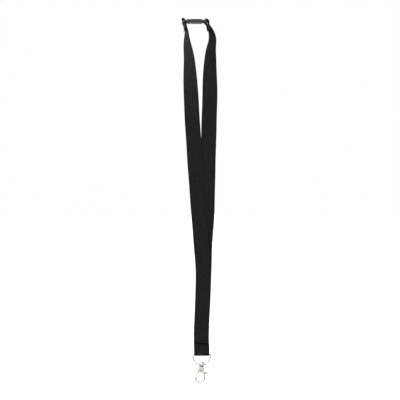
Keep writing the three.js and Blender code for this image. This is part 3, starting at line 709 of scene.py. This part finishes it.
def webbing_material():
    """Black ribbed polyester: thick weft ribs under fine warp yarns that cross over them in turn."""
    s = Shader("webbing")
    uv = s.add("UVMap", {}, uv_map="weave").outputs[0]
    parts = s.add("SeparateXYZ", {"Vector": uv})
    across, along = parts.outputs[0], parts.outputs[1]
    warp = s.times(across, MM / WARP_PITCH)
    ribs = s.times(along, MM / RIB_PITCH)
    odd = s.math("FLOORED_MODULO", s.math("FLOOR", warp), 2.0)
    phase = s.times(s.plus(ribs, s.times(odd, 0.5)), math.pi)
    over = s.math("POWER", s.math("ABSOLUTE", s.math("SINE", phase)), 0.7)
    yarn = s.math("POWER", s.math("ABSOLUTE", s.math("SINE", s.times(warp, math.pi))), 0.5)
    weave = s.times(over, yarn)
    filament = s.noise(uv, 9.0, 3.0, (3, 0.35, 1))
    row = s.math("FLOOR", ribs)
    spot = s.add("CombineXYZ", {"X": s.times(across, 0.16), "Y": s.times(row, 3.71)}).outputs[0]
    streak = s.noise(spot, 1.0, 1.0)
    cloud = s.noise(uv, 0.035, 3.0)
    band = s.noise(uv, 0.55, 2.0, (0.4, 1, 1))
    lint = s.spread(s.noise(uv, 0.55, 0.0), 0.86, 0.9)
    # Painted shade: the face is darker along each selvedge groove.
    edge = s.math("ABSOLUTE", s.plus(s.math("ABSOLUTE", across), -SELVEDGE / MM))
    groove = s.spread(edge, 0.05, 0.3, 0.45, 1.0)
    rim = s.spread(s.math("ABSOLUTE", across), 8.6, 9.8, 1.0, 1.5)
    tone = s.plus(s.times(weave, 0.45), s.times(filament, 0.35))
    tone = s.plus(tone, s.plus(s.times(streak, 0.6), s.plus(s.times(cloud, 0.5), s.times(band, 1.4))))
    tone = s.times(s.times(s.spread(tone, 1.1, 2.2), groove), rim)
    colour = s.mix(tone, grey(0.003), grey(0.0165, (1, 0.99, 1.02)))
    colour = s.mix(s.times(lint, 0.5), colour, grey(0.25))
    # The dark attribute paints shade along the creases beside the cut edges and darkens the heat-cut ends,
    # partly as singed ends and partly as painted shade.
    dark = s.add("Attribute", {}, attribute_name="dark").outputs["Fac"]
    colour = s.mix(s.times(dark, s.spread(streak, 0.3, 0.7, 0.75, 1.0)), colour, grey(0.0005))
    rough = s.spread(filament, 0.2, 0.8, 0.95, 0.7)
    s.bump(s.plus(weave, s.times(filament, 0.3)), 0.09 * MM, 0.9)
    return s.finish(Base_Color=colour, Roughness=rough, Specular_IOR_Level=s.spread(dark, 0, 1, 0.14, 0.0),
                    Sheen_Weight=s.spread(dark, 0, 1, 0.05, 0.0), Sheen_Roughness=0.35, Sheen_Tint=grey(0.8))


def thread_material():
    """Black bonded sewing thread, a touch glossier than the webbing."""
    s = Shader("thread")
    fibre = s.noise(s.places(), 4000.0, 2.0)
    s.bump(fibre, 0.03 * MM, 0.6)
    colour = s.mix(s.spread(fibre, 0.3, 0.7), grey(0.004), grey(0.014))
    return s.finish(Base_Color=colour, Roughness=0.6, Specular_IOR_Level=0.2, Sheen_Weight=0.04)


def plastic_material():
    """Charcoal moulded acetal with a violet cast, satin from its tool, shinier along its edges."""
    s = Shader("moulded_plastic")
    places = s.places()
    grain = s.noise(places, 2600.0, 4.0)
    flow = s.noise(places, 160.0, 2.0, (0.35, 1, 1))
    edge = s.spread(s.add("NewGeometry", {}).outputs["Pointiness"], 0.52, 0.6)
    tone = s.plus(s.times(grain, 0.35), s.times(flow, 0.65))
    colour = s.mix(s.spread(tone, 0.35, 0.65), grey(0.011, (1, 0.98, 1.5)), grey(0.018, (1, 0.98, 1.6)))
    colour = s.mix(s.times(edge, 0.5), colour, grey(0.07, (1, 0.98, 1.15)))
    s.bump(grain, 0.025 * MM, 0.5)
    rough = s.spread(s.plus(grain, s.times(edge, -0.25)), 0.2, 0.8, 0.34, 0.52)
    return s.finish(Base_Color=colour, Roughness=rough, Specular_IOR_Level=0.5)


def nickel_material(name, light, dark, rough):
    """Bright nickel plate: soft ripple under the plating, fine rub marks, hollows darker and rougher by
    occlusion as partly patina and partly painted shade, and painted shade where a piece's stored mask asks
    for it.
    """
    s = Shader(name)
    places = s.places()
    ripple = s.noise(places, 420.0, 2.0)
    rub = s.noise(places, 1500.0, 4.0, (1, 1, 0.12))
    # Occlusion darkens and roughens the hollows: partly patina, partly painted shade.
    shelter = s.add("AmbientOcclusion", {"Distance": 1.3 * MM}, samples=8).outputs["AO"]
    hollow = s.spread(shelter, 0.25, 0.75, 1.0, 0.0)
    tone = s.mix(s.spread(ripple, 0.3, 0.7, 0.0, 0.35), light, dark)
    colour = s.mix(s.times(hollow, 0.85), tone, dark)
    roughness = s.plus(s.spread(rub, 0.35, 0.7, rough, rough + 0.12), s.times(hollow, 0.2))
    # Painted shade: a stored mask darkens chosen hollows and gaps almost to black.
    shade_mask = s.add("Attribute", {}, attribute_name="shade_paint").outputs["Fac"]
    colour = s.mix(shade_mask, colour, grey(0.05, (1, 0.93, 0.84)))
    roughness = s.plus(roughness, s.times(shade_mask, 0.3))
    s.bump(s.plus(s.times(ripple, 0.8), s.times(rub, 0.2)), 0.05 * MM, 0.35)
    return s.finish(Base_Color=colour, Metallic=1.0, Roughness=roughness)


def floor_material():
    """Pale floor that the camera sees as white."""
    s = Shader("studio_floor")
    mottle = s.noise(s.places(), 6.0, 2.0)
    pale = s.mix(mottle, grey(0.5), grey(0.52))
    return s.finish(Base_Color=pale, Roughness=0.9, Emission_Color=grey(1.0),
                    Emission_Strength=s.camera_ray())


# ---- building the lanyard ----

def clear_scene():
    for thing in list(bpy.context.scene.objects):
        if thing.type in ("CAMERA", "LIGHT") or thing.name == "Cube":
            bpy.data.objects.remove(thing)


def settle(piece, material, body, slot, *nodes):
    """Gives a finished piece its material and its body, and hides the CAD nodes it stands for. slot is not
    used.
    """
    piece.data.materials.clear()
    piece.data.materials.append(material)
    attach(piece, body)
    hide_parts(*nodes)
    return piece


def build_straps(cloth, thread):
    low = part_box("strap_left")[0].z + 0.2 * MM
    left_centre, left_across = read_leg("strap_left", "thread_left", low, (0, 30 * MM), 0.6 * MM)
    low = CUT_EDGE_Z + 2 * MM
    right_centre, right_across = read_leg("strap_right", "thread_right", low, (-8 * MM, 4 * MM), 0.3 * MM)
    pitch = right_centre[-1][1] - left_centre[-1][1]
    fold = fold_stations(right_centre[-1], right_centre[-1][1] - 2 * pitch)
    right_centre = np.concatenate([right_centre, fold])
    right_across = np.concatenate([right_across, np.repeat([RIGHTWARD], len(fold), 0)])
    left = Path(left_centre, left_across)
    right = Path(right_centre, right_across)

    # Each cut is its shift along the path and how far it slants from the middle to one edge.
    left_cut = (FLAP_SPARE - 0.6 * MM, 2.2 * MM)
    right_cut = (FLAP_SPARE - 1.6 * MM, 0.8 * MM)
    front_cut = (0.0, 0.8 * MM)

    def flap_seam(cut):
        return lambda v: SEAM_TO_CUT + cut[0] + cut[1] * v / WEB_HALF_WIDTH

    def falling(path):
        """A function that gives the distance along the leg's long run at each height."""
        lowest = path.distance[np.argmin(path.centre[:, 2])]
        run = (path.distance > RUN_START) & (path.distance < lowest)
        heights, place = path.centre[run, 2][::-1], path.distance[run][::-1]
        return lambda height: np.interp(height, heights, place)

    left_run, right_run = falling(left), falling(right)
    left_front, right_front = flap_seam(left_cut), flap_seam(right_cut)

    def left_back(v):
        return left_run(left.at(left_front(v))[0][..., 2])

    def right_back(v):
        return right_run(right.at(right_front(v))[0][..., 2])

    # Each crease is where painted shade lies on the ply behind, just beside a flap's cut edge.
    def left_crease(v):
        return left_run(left.at(left_front(v) - SEAM_TO_CUT)[0][..., 2]) + DARK_CUT

    def right_crease(v):
        return right_run(right.at(right_front(v) - SEAM_TO_CUT)[0][..., 2]) + DARK_CUT

    def hem_front(v):
        return right.length - front_cut[0] - (CUT_EDGE_Z - HEM_Z) - front_cut[1] * v / WEB_HALF_WIDTH

    def hem_back(v):
        return right_run(right.at(hem_front(v))[0][..., 2])

    def hem_crease(v):
        rightward = left.at(left.length)[1][0] * v / WEB_HALF_WIDTH
        return left_run(CUT_EDGE_Z + 0.4 * MM - front_cut[1] * rightward)

    strap = webbing("webbing_left", left, (left_cut, (0, 0)), (left_front, left_back),
                    (left_crease, hem_crease), (1.3 * MM, 0), 0.06, 0)
    settle(strap, cloth, "left_strap", "webbing", "strap_left")
    strap = webbing("webbing_right", right, (right_cut, front_cut),
                    (right_front, right_back, hem_front, hem_back), (right_crease,),
                    (0.8 * MM, 0.25 * MM), 0, 700 * MM)
    settle(strap, cloth, "right_strap", "webbing", "strap_right")
    sewn = stitches("stitches_left", left, (left_front, left_back))
    settle(sewn, thread, "left_strap", "thread", "thread_left")
    sewn = stitches("stitches_right", right, (right_front, right_back))
    settle(sewn, thread, "right_strap", "thread", "thread_right")
    sewn = stitches("stitches_joint", right, (hem_front, hem_back))
    settle(sewn, thread, "right_strap", "thread", "thread_bottom")


def build_buckle(plastic):
    voxel = 0.17 * MM
    socket = soft_copy("buckle_socket_shell", "buckle_socket", voxel, 5)
    settle(socket, plastic, "right_strap", "buckle", "buckle_socket")
    plug = soft_copy("buckle_plug_prongs", "buckle_plug", voxel, 5)
    settle(plug, plastic, "plug", "buckle", "buckle_plug")


def build_metal(nickel, shaded_rivet_steel, steel):
    settle(d_ring(), nickel, "ring", "nickel", "d_ring")
    bail = soft_copy("bail_casting", "swivel_bail", 0.11 * MM, 5)
    reshape(bail, hollow_bail)
    # Painted shade in the bail's two hollows and in the slot below its eye, stored for the nickel material.
    across, front, up = hook_places([vertex.co for vertex in bail.data.vertices])
    hollow, slot = bail_hollows(across, up)
    mark(bail.data, "shade_paint", np.maximum(HOLLOW_SHADE * hollow, SLOT_SHADE * slot))
    settle(bail, nickel, "bail", "nickel", "swivel_bail")
    hook = soft_copy("hook_casting", "hook_body", 0.12 * MM, 5)
    reshape(hook, crown_hook)
    settle(hook, nickel, "hook", "nickel", "hook_body")
    settle(soft_copy("gate_casting", "gate_lever", 0.11 * MM, 4), nickel, "gate", "nickel", "gate_lever")
    settle(rivet(), shaded_rivet_steel, "hook", "nickel", "gate_rivet")
    coil = settle(spring_coil(), steel, "hook", "spring_steel", "gate_spring")
    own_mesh(coil)


# ---- studio ----

VIEW_SPAN = 533.3 * MM  # what the picture holds from edge to edge
VIEW_CENTRE = Vector((-2.2, 0, 199.5)) * MM
LENS = 200
SENSOR = 36
CLIP_END = 100
FLOOR_Z = -60 * MM
FLOOR = 40  # half the floor's width
PANEL = 2.45  # how bright the panels in front and behind are, then the one above, then the room
ABOVE = 1.3
ROOM = 0.27
PANEL_EDGE = (0.2, 0.55)  # the panels end and the room begins at these sines from straight ahead
ABOVE_EDGE = (0.5, 0.85)  # the panel above starts and is full at these sines above level


def studio_world():
    """Soft white panels in front, behind and above, with greyer room between. The camera sees only white."""
    world = bpy.data.worlds.new("studio")
    bpy.context.scene.world = world
    world.use_nodes = True
    s = Nodes(world.node_tree)
    where = s.add("SeparateXYZ", {"Vector": s.add("TexCoord", {}).outputs["Generated"]}).outputs
    from_front = s.math("SQRT", s.plus(s.times(where[0], where[0]), s.times(where[2], where[2])))
    ramp = s.add("ValToRGB", {"Fac": from_front})
    stops = ramp.color_ramp.elements
    stops[0].position, stops[0].color = PANEL_EDGE[0], grey(PANEL)
    stops[1].position, stops[1].color = PANEL_EDGE[1], grey(ROOM)
    above = s.spread(where[2], *ABOVE_EDGE)
    lit = s.mix(above, ramp.outputs[0], grey(ABOVE))
    background = s.tree.nodes["Background"]
    s.put(background.inputs["Color"], s.mix(s.camera_ray(), lit, grey(1.0)))


def add_light(name, place, target, size, power):
    lamp = bpy.data.lights.new(name, "AREA")
    lamp.shape = "RECTANGLE"
    lamp.size, lamp.size_y = size
    lamp.energy = power
    light = bpy.data.objects.new(name, lamp)
    bpy.context.scene.collection.objects.link(light)
    light.location = place
    light.rotation_euler = (Vector(target) - Vector(place)).to_track_quat("-Z", "Y").to_euler()


def build_studio():
    studio_world()
    corners = [(-FLOOR, -FLOOR), (FLOOR, -FLOOR), (FLOOR, FLOOR), (-FLOOR, FLOOR)]
    floor = add_object("floor", mesh_from("floor", [(x, y, FLOOR_Z) for x, y in corners], [[0, 1, 2, 3]]))
    floor.data.materials.append(floor_material())
    add_light("key", (-0.75, -0.9, 1.15), (0, 0, 0.3), (1.0, 1.0), 12)
    add_light("side", (-1.1, 0.1, 0.5), (0, 0, 0.38), (0.3, 0.7), 9)
    camera_data = bpy.data.cameras.new("camera")
    camera_data.sensor_width = SENSOR
    camera_data.lens = LENS
    camera = bpy.data.objects.new("camera", camera_data)
    bpy.context.scene.collection.objects.link(camera)
    distance = VIEW_SPAN * LENS / SENSOR
    camera.location = VIEW_CENTRE + Vector((0, -distance, 0))
    camera.rotation_euler = (math.pi / 2, 0, 0)
    camera_data.clip_end = CLIP_END
    bpy.context.scene.camera = camera
    bpy.context.scene.view_settings.view_transform = "Standard"


def build():
    clear_scene()
    cloth, thread = webbing_material(), thread_material()
    nickel = nickel_material("nickel_plate", grey(0.74, (1, 0.97, 0.93)), grey(0.2, (1, 0.94, 0.86)), 0.17)
    # A darker, rougher copy of the nickel for the rivet: partly the steel's own tone, partly painted shade
    # at the pivot.
    shaded_rivet_steel = nickel_material("peened_steel_with_painted_shade", grey(0.46, (1, 0.96, 0.92)), grey(0.16, (1, 0.95, 0.9)), 0.3)
    steel = nickel_material("spring_wire", grey(0.5), grey(0.2), 0.25)
    build_straps(cloth, thread)
    build_buckle(plastic_material())
    build_metal(nickel, shaded_rivet_steel, steel)
    build_studio()


build()
